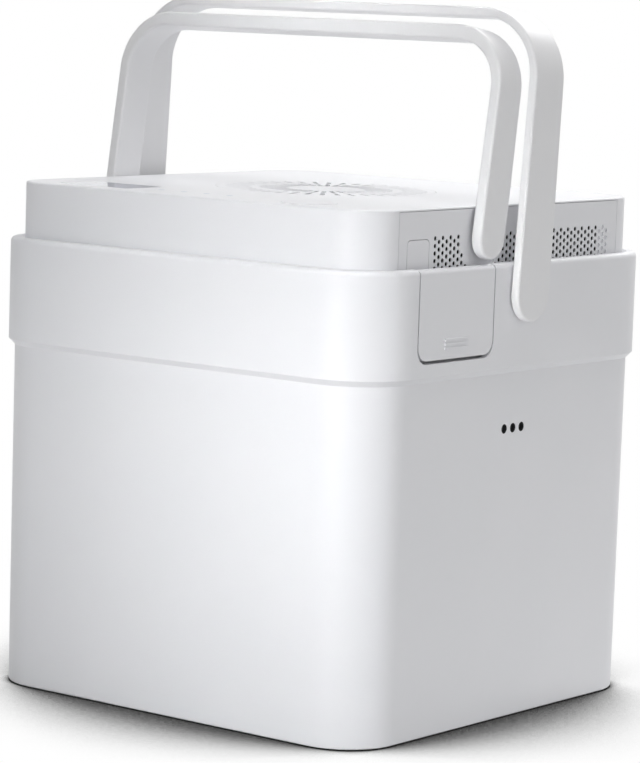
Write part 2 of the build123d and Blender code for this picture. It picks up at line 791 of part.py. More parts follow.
def make_usb_sockets():
    front = module_y - 0.6
    sockets = []
    for x in usb_x:
        shell = block(x - usb_width / 2, x + usb_width / 2, front - usb_depth, front,
                      port_z - usb_height / 2, port_z + usb_height / 2)
        shell -= block(x - usb_width / 2 + usb_wall, x + usb_width / 2 - usb_wall, front - usb_depth + usb_wall,
                       front + 1, port_z - usb_height / 2 + usb_wall, port_z + usb_height / 2 - usb_wall)
        shell += block(x - 5.0, x + 5.0, front - usb_depth, front - 1.5, port_z + 0.3, port_z + 2.1)
        sockets.append(shell)
    outline = RectangleRounded(usb_c_width, usb_c_height, usb_c_height / 2 - 0.01)
    hollow = RectangleRounded(usb_c_width - 2 * usb_c_wall, usb_c_height - 2 * usb_c_wall,
                              usb_c_height / 2 - usb_c_wall - 0.01)
    plane = Plane(origin=(usb_c_x, front, port_z), x_dir=(1, 0, 0), z_dir=(0, -1, 0))
    shell = extrude(plane * outline, usb_c_depth) - extrude(plane * hollow, usb_c_depth - 1.0)
    shell += block(usb_c_x - 3.3, usb_c_x + 3.3, front - usb_c_depth, front - 0.8, port_z - 0.35, port_z + 0.35)
    sockets.append(shell)
    return sockets


def make_dc_jack():
    front = module_y - 0.6
    middle = Pos(jack_x, front - jack_depth / 2, port_z) * Rot(90, 0, 0)
    body = middle * Cylinder(jack_radius, jack_depth)
    body -= Pos(jack_x, front - jack_depth / 2 + 1.5, port_z) * Rot(90, 0, 0) * Cylinder(jack_bore, jack_depth)
    return body + Pos(jack_x, front - jack_depth / 2 - 0.5, port_z) * Rot(90, 0, 0) * Cylinder(jack_pin, jack_depth - 1.0)


def make_port_board():
    front = module_y - module_wall - 1.0
    top = port_z - usb_height / 2
    return block(-36, 16, front - 22, front, top - board_thickness, top)


def make_port_ribs():
    """Two brackets that carry the socket board from the back wall."""
    front = module_y - module_wall
    top = port_z - usb_height / 2 - board_thickness
    return [block(x - 2, x + 2, front - 20, front, top - 6, top) for x in (-30, 12)]


os.makedirs("parts", exist_ok=True)

save("tub_shell", make_tub())
save("collar_band", make_collar())
feet = [rod(sx * (half_x - foot_inset), sy * (half_y - foot_inset), foot_radius, 0, foot_height)
        for sx in (-1, 1) for sy in (-1, 1)]
save("tub_feet", feet)
seal = slab(2 * module_x, 2 * module_y, module_corner, seat_height, base_bottom)
seal -= slab(2 * (module_x - seal_width), 2 * (module_y - seal_width), module_corner - seal_width,
             seat_height, base_bottom)
save("seat_seal", seal)

outer_pivot = (outer_pivot_y, outer_pivot_z)
inner_pivot = (inner_pivot_y, inner_pivot_z)
wall_inside = half_x - tub_wall
save("outer_handle", handle(outer_reach, outer_x, outer_arm, outer_bar, outer_corner, outer_corner_inside,
                            outer_width_pivot, outer_width_grip, outer_pivot, outer_tilt, outer_pin_radius))
save("outer_handle_pins", both(handle_pin(outer_pivot, outer_pin_radius, wall_inside + outer_head,
                                          outer_x - pin_bore_floor - 0.2, outer_head_radius, wall_inside)))
save("inner_handle", handle(inner_reach, inner_x, inner_arm, inner_bar, inner_corner, inner_corner_inside,
                            inner_width_pivot, inner_width_grip, inner_pivot, inner_tilt, inner_pin_radius))
boss_end = module_x - module_wall - inner_boss_length
save("inner_handle_pins", both(handle_pin(inner_pivot, inner_pin_radius, boss_end,
                                          inner_x - pin_bore_floor - 0.2, inner_boss_radius - 2,
                                          boss_end - inner_head)))

latch, latch_pin, latch_spring = make_latch(), make_latch_pin(), make_latch_spring()
for side, turn in (("right", lambda shape: shape), ("left", left)):
    save(f"latch_plate_{side}", turn(latch))
    save(f"latch_pin_{side}", turn(latch_pin))
    save(f"latch_spring_{side}", turn(latch_spring))
save("catch_springs", both(make_catch()))

save("module_shell", make_module_shell())
save("module_base", make_base())
save("shell_screws", make_shell_screws())
panel = make_side_panel()
save("side_panel_right", panel)
save("side_panel_left", left(panel))
save("service_covers", both(make_service_cover()))
sheet, frame = make_intake_filter()
save("intake_filters", both(sheet))
save("filter_frames", both(frame))

save("top_grille", make_grille())
save("power_button", make_button())
save("button_spring", make_button_spring())
save("button_switch", make_switch())
lens = Pos(display_x, display_y, module_top - display_lens / 2)
save("display_lens", lens * Box(display_length - 0.3, display_depth - 0.3, display_lens))
save("display_unit", block(display_x - display_length / 2, display_x + display_length / 2,
                           display_y - display_depth / 2, display_y + display_depth / 2,
                           control_top, roof_under))
save("led_lenses", [rod(x, led_y, led_radius, control_top, module_top) for x in led_x])
save("control_board", make_control_board())
save("fan_frame", make_fan_frame())
save("fan_rotor", make_fan_rotor())

save("converter_board", make_converter_board())
save("converter_parts", make_converter_parts())
save("board_standoffs", make_standoffs())
save("port_panel", make_port_panel())
save("usb_sockets", make_usb_sockets())
save("dc_jack", make_dc_jack())
save("port_board", make_port_board())
save("port_brackets", make_port_ribs())

save("cell_frames", [make_cell_frame(cell_x(index)) for index in range(cell_count)])
save("air_cathodes", [sheet for index in range(cell_count) for sheet in make_cathodes(cell_x(index))])
save("anode_plates", [make_anode(x) for x in anode_x()])
cathode_studs = [rod(cell_x(index), -stud_y, stud_radius, base_bottom, base_top + bus_thickness + nut_height + 1)
                 for index in range(cell_count)]
save("cathode_studs", cathode_studs)
cell_spots = [cell_x(index) for index in range(cell_count)]
save("bus_bars", [make_bus(stud_y, anode_x()), make_bus(-stud_y, cell_spots)])
save("bus_nuts", [make_nut(x, stud_y) for x in anode_x()] + [make_nut(x, -stud_y) for x in cell_spots])
save("cell_cage", make_cage())
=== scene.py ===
import json
import math
import bpy
from mathutils import Matrix, Vector


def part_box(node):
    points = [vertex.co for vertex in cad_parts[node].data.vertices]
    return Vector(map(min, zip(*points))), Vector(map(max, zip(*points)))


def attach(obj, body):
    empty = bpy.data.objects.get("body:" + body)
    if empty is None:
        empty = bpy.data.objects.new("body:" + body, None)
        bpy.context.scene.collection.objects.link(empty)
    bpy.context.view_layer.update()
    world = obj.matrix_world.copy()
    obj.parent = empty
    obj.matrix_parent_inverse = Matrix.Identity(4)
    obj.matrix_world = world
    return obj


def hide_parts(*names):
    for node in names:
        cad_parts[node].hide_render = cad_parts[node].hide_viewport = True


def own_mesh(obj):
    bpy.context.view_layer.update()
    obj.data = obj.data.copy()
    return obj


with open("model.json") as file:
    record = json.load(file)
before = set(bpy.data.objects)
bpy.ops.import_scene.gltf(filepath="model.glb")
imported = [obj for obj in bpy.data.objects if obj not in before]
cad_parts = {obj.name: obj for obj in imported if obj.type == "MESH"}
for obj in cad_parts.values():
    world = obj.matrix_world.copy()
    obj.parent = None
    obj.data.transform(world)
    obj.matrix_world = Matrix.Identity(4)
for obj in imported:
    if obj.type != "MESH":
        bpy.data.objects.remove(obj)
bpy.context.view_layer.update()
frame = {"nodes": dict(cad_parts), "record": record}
mm = 0.001


# ---- 1. Tub --------------------------------------------------------------------------
# The water tub is one white ABS moulding with a fine satin texture etched in the mould.
# A slow change of tone over the walls comes from the way the melt flowed.
def linear(code):
    """An sRGB hex colour as the linear colour that a shader takes."""
    parts = [int(code[i:i + 2], 16) / 255 for i in (1, 3, 5)]
    return (*[p / 12.92 if p <= 0.04045 else ((p + 0.055) / 1.055) ** 2.4 for p in parts], 1.0)


def add(tree, kind, inputs=None, **settings):
    """One node with its settings; an input takes a value or the socket that feeds it."""
    node = tree.nodes.new(kind)
    for name, value in settings.items():
        setattr(node, name, value)
    for name, value in (inputs or {}).items():
        if isinstance(value, bpy.types.NodeSocket):
            tree.links.new(value, node.inputs[name])
        else:
            node.inputs[name].default_value = value
    return node


def new_material(name, inputs):
    """An empty material with one shader; returns the material, its tree and the shader."""
    material = bpy.data.materials.new(name)
    material.use_nodes = True
    tree = material.node_tree
    tree.nodes.clear()
    shader = add(tree, "ShaderNodeBsdfPrincipled", inputs)
    add(tree, "ShaderNodeOutputMaterial", {"Surface": shader.outputs[0]})
    return material, tree, shader


def moulded(name, light, dark, rough, grain, depth, flow=60.0, **inputs):
    """Moulded plastic: two near tones, grain in mm, depth of the grain in mm."""
    material, tree, shader = new_material(name, {"IOR": 1.5, **inputs})
    place = add(tree, "ShaderNodeTexCoord").outputs["Object"]
    slow = add(tree, "ShaderNodeTexNoise", {"Vector": place, "Scale": 1000.0 / flow, "Detail": 1.0})
    tone = add(tree, "ShaderNodeMix", {0: slow.outputs[0], 6: linear(light), 7: linear(dark)},
        data_type="RGBA")
    tree.links.new(tone.outputs[2], shader.inputs["Base Color"])
    polish = add(tree, "ShaderNodeMapRange", {0: slow.outputs[0], 3: rough - 0.04, 4: rough + 0.04})
    tree.links.new(polish.outputs[0], shader.inputs["Roughness"])
    fine = add(tree, "ShaderNodeTexNoise", {"Vector": place, "Scale": 1000.0 / grain,
        "Detail": 2.0})
    bump = add(tree, "ShaderNodeBump", {"Height": fine.outputs[0], "Strength": 0.35,
        "Distance": depth * mm})
    tree.links.new(bump.outputs[0], shader.inputs["Normal"])
    return material


def dress(material, *names):
    """Give CAD nodes their material."""
    for name in names:
        for place in frame["nodes"][name].material_slots:
            place.material = material


# The etched grain is about 0.1 mm; it is drawn 0.8 mm wide so that it shows at all.
white_abs = moulded("satin_moulded_white_ABS", "#F2F2F5", "#EEEFF2", 0.42, 0.8, 0.02)
dress(white_abs, "tub_shell")


# ---- 2. Tub feet ---------------------------------------------------------------------
# Four thin black rubber discs glued under the tub; rubber is dull and a little dusty.
rubber = moulded("black_moulded_rubber", "#232325", "#2E2E30", 0.82, 1.2, 0.08, 20.0)
dress(rubber, "tub_feet")


# ---- 3. Collar -----------------------------------------------------------------------
# The collar is a second ABS moulding pressed over the tub's mouth, with a rolled lip.
dress(white_abs, "collar_band")


# ---- 4. Seat seal --------------------------------------------------------------------
# A soft rubber ring that lies on the tub's ledge and carries the module.
dress(rubber, "seat_seal")


# ---- 5. Latch plates -----------------------------------------------------------------
# White ABS plates hung on steel pins under the rim, each pushed out by a bent leaf of
# spring steel behind it. The leaf shows the long marks of the rolling mill.
def metal(name, light, dark, rough, stretch, line, depth):
    """Bare metal with marks drawn out along one axis, line being their pitch in mm."""
    material, tree, shader = new_material(name, {"Metallic": 1.0})
    place = add(tree, "ShaderNodeTexCoord").outputs["Object"]
    drawn = add(tree, "ShaderNodeMapping", {"Vector": place, "Scale": stretch})
    marks = add(tree, "ShaderNodeTexNoise", {"Vector": drawn.outputs[0], "Scale": 1000.0 / line,
        "Detail": 3.0})
    tone = add(tree, "ShaderNodeMix", {0: marks.outputs[0], 6: linear(light), 7: linear(dark)},
        data_type="RGBA")
    tree.links.new(tone.outputs[2], shader.inputs["Base Color"])
    polish = add(tree, "ShaderNodeMapRange", {0: marks.outputs[0], 3: rough - 0.08,
        4: rough + 0.08})
    tree.links.new(polish.outputs[0], shader.inputs["Roughness"])
    bump = add(tree, "ShaderNodeBump", {"Height": marks.outputs[0], "Strength": 0.4,
        "Distance": depth * mm})
    tree.links.new(bump.outputs[0], shader.inputs["Normal"])
    return material


spring_steel = metal("rolled_spring_steel", "#B9BABD", "#96989C", 0.34, (1.0, 1.0, 0.06), 0.8, 0.02)
turned_steel = metal("turned_zinc_plated_steel", "#D2D3D6", "#B8BABF", 0.28, (0.05, 1.0, 1.0), 0.6,
    0.015)
dress(white_abs, "latch_plate_right", "latch_plate_left")
dress(turned_steel, "latch_pin_right", "latch_pin_left")
dress(spring_steel, "latch_spring_right", "latch_spring_left")


# ---- 6. Outer handle -----------------------------------------------------------------
# A flat strap moulded in tough polypropylene and bent to a U, smoother than the box,
# turning on two shouldered steel pins set in the collar.
strap_plastic = moulded("smooth_moulded_white_polypropylene", "#F3F3F4", "#EFEFF1", 0.36, 1.4,
    0.015, 40.0)
dress(strap_plastic, "outer_handle")
dress(turned_steel, "outer_handle_pins")


# ---- 7. Cell stack -------------------------------------------------------------------
# Grey plastic cell boxes in an open cage. Each has a pressed carbon sheet on both faces,
# with an expanded-metal collector in it, and rolled metal plates stand between the boxes.
grey_plastic = moulded("plain_moulded_grey_ABS", "#B9BBBF", "#AEB0B5", 0.5, 1.0, 0.03, 30.0)
dress(grey_plastic, "cell_cage", "cell_frames")

carbon, tree, shader = new_material("pressed_carbon_sheet", {"Roughness": 0.75, "IOR": 1.6})
place = add(tree, "ShaderNodeTexCoord").outputs["Object"]
# The collector's diamonds are 3 mm long and 1.6 mm high.
turned = add(tree, "ShaderNodeMapping", {"Vector": place, "Rotation": (math.radians(45), 0, 0),
    "Scale": (1.0, 1.0, 1.6)})
mesh = add(tree, "ShaderNodeTexVoronoi", {"Vector": turned.outputs[0], "Scale": 450.0,
    "Randomness": 0.0}, distance="CHEBYCHEV")
strand = add(tree, "ShaderNodeMapRange", {0: mesh.outputs["Distance"], 1: 0.36, 2: 0.48})
tone = add(tree, "ShaderNodeMix", {0: strand.outputs[0], 6: linear("#1B1B1D"),
    7: linear("#4A4B4E")}, data_type="RGBA")
tree.links.new(tone.outputs[2], shader.inputs["Base Color"])
bump = add(tree, "ShaderNodeBump", {"Height": strand.outputs[0], "Strength": 0.6,
    "Distance": 0.1 * mm})
tree.links.new(bump.outputs[0], shader.inputs["Normal"])
dress(carbon, "air_cathodes")

anode_metal = metal("rolled_magnesium_plate", "#C2C4C6", "#A3A5A8", 0.45, (1.0, 0.04, 1.0), 1.4,
    0.04)
copper = metal("drawn_tinned_brass", "#D9B877", "#C79F58", 0.3, (0.04, 1.0, 1.0), 0.9, 0.02)
dress(anode_metal, "anode_plates")
dress(turned_steel, "cathode_studs", "bus_nuts")
dress(copper, "bus_bars")


# ---- 8. Module base and its screws ---------------------------------------------------
# A flat white plate closes the module from below. Four pan-head steel screws with a
# cross recess go up through it into the corner posts of the shell.
def geometry_tree(name, sizes):
    """A geometry tree with a named input for each size; returns the tree and its inputs."""
    tree = bpy.data.node_groups.new(name, "GeometryNodeTree")
    tree.interface.new_socket("Geometry", in_out="OUTPUT", socket_type="NodeSocketGeometry")
    for label, kind in sizes.items():
        tree.interface.new_socket(label, in_out="INPUT", socket_type="NodeSocket" + kind)
    tree.interface.new_socket("Material", in_out="INPUT", socket_type="NodeSocketMaterial")
    start = tree.nodes.new("NodeGroupInput")
    return tree, {socket.name: socket for socket in start.outputs if socket.name}


def close_tree(tree, shape, inputs):
    """The last nodes of a tree: real geometry with its material."""
    real = add(tree, "GeometryNodeRealizeInstances", {"Geometry": shape})
    painted = add(tree, "GeometryNodeSetMaterial",
        {"Geometry": real.outputs[0], "Material": inputs["Material"]})
    add(tree, "NodeGroupOutput", {"Geometry": painted.outputs[0]})


def grow(tree, name, place, **sizes):
    """Evaluate a tree with its sizes, keep the result as a plain mesh and move it there."""
    holder = bpy.data.objects.new(name + "_holder", bpy.data.meshes.new(name + "_holder"))
    bpy.context.scene.collection.objects.link(holder)
    modifier = holder.modifiers.new("tree", "NODES")
    modifier.node_group = tree
    for item in tree.interface.items_tree:
        if item.in_out == "INPUT":
            modifier[item.identifier] = sizes[item.name]
    result = holder.evaluated_get(bpy.context.evaluated_depsgraph_get())
    mesh = bpy.data.meshes.new_from_object(result)
    holder.modifiers.remove(modifier)
    bpy.data.objects.remove(holder)
    mesh.transform(place)
    mesh.name = name
    piece = bpy.data.objects.new(name, mesh)
    bpy.context.scene.collection.objects.link(piece)
    return piece


dress(white_abs, "module_base")

tree, size = geometry_tree("cross_head_screws", {
    "Spread": "Vector", "Head Radius": "Float", "Head Height": "Float", "Shank Radius": "Float",
    "Shank Length": "Float", "Recess": "Vector"})
corners = add(tree, "GeometryNodeMeshGrid", {"Vertices X": 2, "Vertices Y": 2})
spread = add(tree, "GeometryNodeTransform", {"Geometry": corners.outputs[0],
    "Scale": size["Spread"]})
half_head = add(tree, "ShaderNodeMath", {0: size["Head Height"], 1: 0.5}, operation="MULTIPLY")
head_up = add(tree, "ShaderNodeCombineXYZ", {"Z": half_head.outputs[0]})
head = add(tree, "GeometryNodeMeshCylinder", {"Vertices": 24, "Radius": size["Head Radius"],
    "Depth": size["Head Height"]})
head = add(tree, "GeometryNodeTransform", {"Geometry": head.outputs[0],
    "Translation": head_up.outputs[0]})
bar_across = add(tree, "GeometryNodeMeshCube", {"Size": size["Recess"]})
bar_along = add(tree, "GeometryNodeTransform",
    {"Geometry": bar_across.outputs[0], "Rotation": (0, 0, math.radians(90))})
recessed = add(tree, "GeometryNodeMeshBoolean", {"Mesh 1": head.outputs[0]}, operation="DIFFERENCE")
for bar in (bar_across, bar_along):
    tree.links.new(bar.outputs[0], recessed.inputs["Mesh 2"])
half_shank = add(tree, "ShaderNodeMath", {0: size["Shank Length"], 1: 0.5, 2: size["Head Height"]},
    operation="MULTIPLY_ADD")
shank_up = add(tree, "ShaderNodeCombineXYZ", {"Z": half_shank.outputs[0]})
shank = add(tree, "GeometryNodeMeshCylinder",
    {"Vertices": 16, "Radius": size["Shank Radius"], "Depth": size["Shank Length"]})
shank = add(tree, "GeometryNodeTransform", {"Geometry": shank.outputs[0],
    "Translation": shank_up.outputs[0]})
screw = add(tree, "GeometryNodeJoinGeometry")
for part in (shank, recessed):
    tree.links.new(part.outputs[0], screw.inputs[0])
spots = add(tree, "GeometryNodeInstanceOnPoints",
    {"Points": spread.outputs[0], "Instance": screw.outputs[0]})
close_tree(tree, spots.outputs[0], size)

low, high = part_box("shell_screws")
head_radius, head_height = 3.0 * mm, 1.5 * mm
recess = (3.4 * mm, 0.7 * mm, 1.8 * mm)
shell_screws = grow(
    tree, "driven_shell_screws", Matrix.Translation(Vector((0, 0, low[2]))),
    Spread=(high[0] - low[0] - 2 * head_radius, high[1] - low[1] - 2 * head_radius, 1.0),
    Material=turned_steel, **{
        "Head Radius": head_radius, "Head Height": head_height, "Shank Radius": 1.4 * mm,
        "Shank Length": high[2] - low[2] - head_height, "Recess": recess})
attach(shell_screws, "module")
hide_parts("shell_screws")


# ---- 9. Converter board --------------------------------------------------------------
# Glass-fibre board under green solder mask on brass standoffs, with a transformer,
# capacitors, chokes and a finned heat sink. Small chips are soldered underneath.
board, tree, shader = new_material("green_solder_mask",
    {"Roughness": 0.32, "IOR": 1.5, "Coat Weight": 0.3})
place = add(tree, "ShaderNodeTexCoord").outputs["Object"]
# Copper tracks 1.6 mm apart, drawn wide so that they show.
tracks = add(tree, "ShaderNodeTexBrick", {
    "Vector": place, "Scale": 1.0, "Color1": linear("#1F6B3C"), "Color2": linear("#17552F"),
    "Mortar": linear("#2E8A50"),
    "Mortar Size": 0.25 * mm, "Brick Width": 9 * mm, "Row Height": 1.6 * mm})
tree.links.new(tracks.outputs["Color"], shader.inputs["Base Color"])
bump = add(tree, "ShaderNodeBump", {"Height": tracks.outputs["Fac"], "Strength": 0.5,
    "Distance": 0.04 * mm})
tree.links.new(bump.outputs[0], shader.inputs["Normal"])
dress(board, "converter_board")
component = metal("cast_and_extruded_aluminium", "#B3B5B8", "#8E9094", 0.42, (1.0, 1.0, 0.1), 1.0,
    0.03)
dress(component, "converter_parts")
dress(copper, "board_standoffs")

chip_body = moulded("black_epoxy_chip", "#1A1A1C", "#242427", 0.6, 0.8, 0.02, 8.0)
tree, size = geometry_tree("soldered_chips", {
    "Length": "Float", "Depth": "Float", "Columns": "Int", "Rows": "Int", "Chip": "Vector",
    "Share": "Float", "Seed": "Int"})
grid = add(tree, "GeometryNodeMeshGrid", {
    "Size X": size["Length"], "Size Y": size["Depth"], "Vertices X": size["Columns"],
    "Vertices Y": size["Rows"]})
chosen = add(tree, "FunctionNodeRandomValue", {"Probability": size["Share"], "Seed": size["Seed"]},
    data_type="BOOLEAN")
reach = add(tree, "FunctionNodeRandomValue", {0: (0.4, 0.5, 0.5), 1: (1.0, 1.0, 1.0),
    "Seed": size["Seed"]}, data_type="FLOAT_VECTOR")
half_down = add(tree, "ShaderNodeVectorMath", {0: size["Chip"], 1: (0, 0, -0.5)},
    operation="MULTIPLY")
chip = add(tree, "GeometryNodeMeshCube", {"Size": size["Chip"]})
chip = add(tree, "GeometryNodeTransform", {"Geometry": chip.outputs[0],
    "Translation": half_down.outputs[0]})
chips = add(tree, "GeometryNodeInstanceOnPoints", {
    "Points": grid.outputs[0], "Selection": chosen.outputs[3],
    "Instance": chip.outputs[0], "Scale": reach.outputs[0]})
close_tree(tree, chips.outputs[0], size)
chip_size = (7.5 * mm, 4.2 * mm, 1.1 * mm)
bare_length, bare_depth = 30 * mm, 14 * mm
for name, node, count, seed in (("converter_chips", "converter_board", (11, 7), 4),
        ("control_chips", "control_board", (15, 4), 9)):
    low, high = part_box(node)
    under = Matrix.Translation(((low[0] + high[0]) / 2, (low[1] + high[1]) / 2, low[2]))
    chips = grow(tree, name, under, Length=high[0] - low[0] - bare_length,
        Depth=high[1] - low[1] - bare_depth, Columns=count[0],
                 Rows=count[1], Chip=chip_size, Share=0.6, Seed=seed, Material=chip_body)
    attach(chips, "module")


# ---- 10. Fan -------------------------------------------------------------------------
# A plain 92 mm fan in black glass-filled plastic hangs under the roof grille.
black_plastic = moulded("black_glass_filled_plastic", "#19191B", "#232326", 0.46, 0.9, 0.03, 25.0)
dress(black_plastic, "fan_frame", "fan_rotor")


# ---- 11. Side panels -----------------------------------------------------------------
# Flat ABS panels with the air intake drilled through them, a service cover let in flush,
# and black woven gauze on a frame behind the holes. A sprung steel catch is fixed inside.
dress(white_abs, "side_panel_right", "side_panel_left", "service_covers")
dress(grey_plastic, "filter_frames")
dress(spring_steel, "catch_springs")

# This near-black colour colours the gauze behind the holes. It also fills the holes themselves as
# painted shade.
gauze_and_hole_shade, tree, shader = new_material("black_gauze_and_painted_hole_shade",
    {"Roughness": 0.95, "Specular IOR Level": 0.1})
place = add(tree, "ShaderNodeTexCoord").outputs["Object"]
# Threads cross every 0.9 mm.
weave = add(tree, "ShaderNodeTexChecker", {"Vector": place, "Scale": 1.0 / (0.9 * mm),
    "Color1": linear("#020203"), "Color2": linear("#070708")})
tree.links.new(weave.outputs[0], shader.inputs["Base Color"])
bump = add(tree, "ShaderNodeBump", {"Height": weave.outputs[1], "Strength": 0.5,
    "Distance": 0.1 * mm})
tree.links.new(bump.outputs[0], shader.inputs["Normal"])
dress(gauze_and_hole_shade, "intake_filters")

# Near-black plugs sit a little way into every hole, in staggered columns, as painted shade
# inside the holes; none is left round the handle's pivot, where the panel is dished.
tree, size = geometry_tree("staggered_shade_plugs", {
    "Columns": "Int", "Rows": "Int", "Column Step": "Float", "Row Step": "Float",
    "Plug Radius": "Float",
    "Plug Depth": "Float", "Clear Centre": "Vector", "Clear Radius": "Float"})
last_column = add(tree, "ShaderNodeMath", {0: size["Columns"], 1: 1.0}, operation="SUBTRACT")
last_row = add(tree, "ShaderNodeMath", {0: size["Rows"], 1: 1.0}, operation="SUBTRACT")
length = add(tree, "ShaderNodeMath", {0: last_column.outputs[0], 1: size["Column Step"]},
    operation="MULTIPLY")
depth = add(tree, "ShaderNodeMath", {0: last_row.outputs[0], 1: size["Row Step"]},
    operation="MULTIPLY")
grid = add(tree, "GeometryNodeMeshGrid", {
    "Size X": length.outputs[0], "Size Y": depth.outputs[0], "Vertices X": size["Columns"],
    "Vertices Y": size["Rows"]})
spot = add(tree, "GeometryNodeInputPosition")
along = add(tree, "ShaderNodeSeparateXYZ", {0: spot.outputs[0]})
from_start = add(tree, "ShaderNodeMath", {0: length.outputs[0], 1: 0.5, 2: along.outputs["X"]},
    operation="MULTIPLY_ADD")
column = add(tree, "ShaderNodeMath", {0: from_start.outputs[0], 1: size["Column Step"]},
    operation="DIVIDE")
column = add(tree, "ShaderNodeMath", {0: column.outputs[0]}, operation="ROUND")
odd = add(tree, "ShaderNodeMath", {0: column.outputs[0], 1: 2.0}, operation="MODULO")
drop = add(tree, "ShaderNodeMath", {0: size["Row Step"], 1: -0.5}, operation="MULTIPLY")
drop = add(tree, "ShaderNodeMath", {0: odd.outputs[0], 1: drop.outputs[0]}, operation="MULTIPLY")
drop = add(tree, "ShaderNodeCombineXYZ", {"Y": drop.outputs[0]})
staggered = add(tree, "GeometryNodeSetPosition",
    {"Geometry": grid.outputs[0], "Offset": drop.outputs[0]})
spot = add(tree, "GeometryNodeInputPosition")
away = add(tree, "ShaderNodeVectorMath", {0: spot.outputs[0], 1: size["Clear Centre"]},
    operation="DISTANCE")
kept = add(tree, "FunctionNodeCompare", {0: away.outputs["Value"], 1: size["Clear Radius"]},
    operation="GREATER_THAN")
plug = add(tree, "GeometryNodeMeshCylinder", {"Vertices": 12, "Radius": size["Plug Radius"],
    "Depth": size["Plug Depth"]})
plugs = add(tree, "GeometryNodeInstanceOnPoints", {
    "Points": staggered.outputs[0], "Selection": kept.outputs[0], "Instance": plug.outputs[0]})
close_tree(tree, plugs.outputs[0], size)

columns, rows = 45, 8
row_step = 3.46 * mm
column_step = row_step * math.sqrt(3) / 2
first_y, first_z = -61.0 * mm, 231.6 * mm
pivot_y, pivot_z = -24.7 * mm, 230.5 * mm
middle_y = first_y + (columns - 1) * column_step / 2
middle_z = first_z - (rows - 1) * row_step / 2
plug_radius, plug_depth, plug_inset = 1.07 * mm, 1.9 * mm, 0.5 * mm
dish_radius = 16.7 * mm
# Plugs of the near-black material in every hole of each side panel: painted shade inside the holes.
for side, node, name in (
        (1, "side_panel_right", "painted_hole_shade_right"),
        (-1, "side_panel_left", "painted_hole_shade_left")):
    low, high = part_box(node)
    face = high[0] if side > 0 else low[0]
    place = Matrix(((0, 0, 1, face - side * (plug_inset + plug_depth / 2)), (1, 0, 0, middle_y),
        (0, 1, 0, middle_z), (0, 0, 0, 1)))
    plugs = grow(tree, name, place, Columns=columns, Rows=rows, Material=gauze_and_hole_shade, **{
        "Column Step": column_step, "Row Step": row_step, "Plug Radius": plug_radius,
        "Plug Depth": plug_depth,
        "Clear Centre": (pivot_y - middle_y, pivot_z - middle_z, 0), "Clear Radius": dish_radius})
    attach(plugs, "module")


# ---- 12. Screens in the level holes --------------------------------------------------
# A black rubber cup with gauze in its end is pressed into each of the tub's three level
# holes from outside, and keeps grit out of the water.
tree, size = geometry_tree("row_of_cups", {
    "Count": "Int", "Pitch": "Vector", "Cup Radius": "Float", "Cup Depth": "Float",
    "Bore Radius": "Float", "Bore Shift": "Vector"})
line = add(tree, "GeometryNodeMeshLine", {"Count": size["Count"], "Offset": size["Pitch"]})
cup = add(tree, "GeometryNodeMeshCylinder", {"Vertices": 32, "Radius": size["Cup Radius"],
    "Depth": size["Cup Depth"]})
bore = add(tree, "GeometryNodeMeshCylinder", {"Vertices": 32, "Radius": size["Bore Radius"],
    "Depth": size["Cup Depth"]})
bore = add(tree, "GeometryNodeTransform", {"Geometry": bore.outputs[0],
    "Translation": size["Bore Shift"]})
hollow = add(tree, "GeometryNodeMeshBoolean", {"Mesh 1": cup.outputs[0]}, operation="DIFFERENCE")
tree.links.new(bore.outputs[0], hollow.inputs["Mesh 2"])
cups = add(tree, "GeometryNodeInstanceOnPoints",
    {"Points": line.outputs[0], "Instance": hollow.outputs[0]})
close_tree(tree, cups.outputs[0], size)
level_pitch, level_z = 7.0 * mm, 140.0 * mm
cup_radius, cup_bore, cup_depth, cup_end, cup_inset = 2.28 * mm, 1.95 * mm, 2.4 * mm, 0.6 * mm, 0.2 * mm
wall_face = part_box("tub_shell")[1][0] - 0.1 * mm
place = Matrix(((0, 0, 1, wall_face - cup_inset - cup_depth / 2), (1, 0, 0, -level_pitch),
    (0, 1, 0, level_z), (0, 0, 0, 1)))
cups = grow(tree, "level_hole_cups", place, Count=3, Pitch=(level_pitch, 0, 0), Material=rubber, **{
    "Cup Radius": cup_radius, "Cup Depth": cup_depth, "Bore Radius": cup_bore,
    "Bore Shift": (0, 0, cup_end)})
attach(cups, "tub")


# ---- 13. Sockets in the back ---------------------------------------------------------
# Folded steel socket shells and a round socket on their own small board, behind a flush
# ABS panel. Each large socket's tongue carries four gold-plated contacts.
dress(white_abs, "port_panel")
dress(turned_steel, "usb_sockets", "dc_jack")
dress(board, "port_board")
dress(grey_plastic, "port_brackets")

gold = metal("gold_plated_contact", "#E3C26B", "#D2AC52", 0.22, (1.0, 0.05, 1.0), 0.5, 0.005)
tree, size = geometry_tree("contact_strips", {"Count": "Int", "Pitch": "Vector", "Strip": "Vector"})
line = add(tree, "GeometryNodeMeshLine", {"Count": size["Count"], "Offset": size["Pitch"]})
strip = add(tree, "GeometryNodeMeshCube", {"Size": size["Strip"]})
strips = add(tree, "GeometryNodeInstanceOnPoints",
    {"Points": line.outputs[0], "Instance": strip.outputs[0]})
close_tree(tree, strips.outputs[0], size)
strip_size = (1.0 * mm, 7.0 * mm, 0.1 * mm)
strip_pitch, strip_count = 2.5 * mm, 4
strip_back, strip_rise = 5.6 * mm, 0.25 * mm
for mount in frame["record"]["mounts"]:
    if mount["name"] in ("usb_socket_1", "usb_socket_2"):
        x, y, z = mount["pos_m"]
        corner = Matrix.Translation((x - (strip_count - 1) / 2 * strip_pitch, y - strip_back,
            z + strip_rise))
        contacts = grow(tree, mount["name"] + "_contacts", corner, Count=strip_count,
            Pitch=(strip_pitch, 0, 0),
                        Strip=strip_size, Material=gold)
        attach(contacts, "module")


